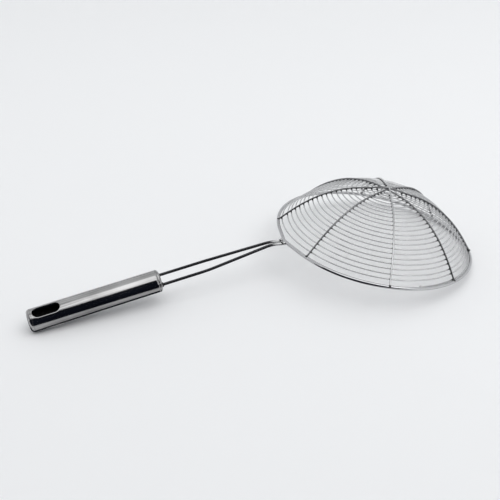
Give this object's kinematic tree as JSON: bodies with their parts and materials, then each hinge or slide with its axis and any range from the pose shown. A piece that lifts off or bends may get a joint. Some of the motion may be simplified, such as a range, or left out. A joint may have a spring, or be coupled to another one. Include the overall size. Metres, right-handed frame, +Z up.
{
  "type": "spider skimmer",
  "caption": "Round wire mesh skimmer with a shallow domed bowl, a twin wire neck and a tubular handle with a hanging slot.",
  "frame": {"origin": "on the worktop, below the middle of the whole skimmer's length and width", "axes": "+X from the handle's butt to the basket's far side, +Z up with the basket upside down, +Y to the left"},
  "size_m": [0.4008, 0.18, 0.0674],
  "materials": {
    "rim_steel": "bright drawn stainless wire",
    "rib_steel": "bright drawn stainless wire",
    "mesh_steel": "drawn stainless wire",
    "neck_steel": "bright drawn stainless wire",
    "handle_steel": "polished stainless tube",
    "weld_steel": "weld bead, slightly darkened"
  },
  "bodies": {
    "root": {"rim_ring": "rim_steel", "rib_wire_1": "rib_steel", "rib_wire_2": "rib_steel", "rib_wire_3": "rib_steel", "rib_wire_4": "rib_steel", "mesh_spiral": "mesh_steel", "neck_wire_left": "neck_steel", "neck_wire_right": "neck_steel", "neck_weld": "weld_steel", "handle_tube": "handle_steel", "front_cap": "handle_steel", "butt_cap": "handle_steel", "cap_weld": "weld_steel"}
  },
  "joints": []
}
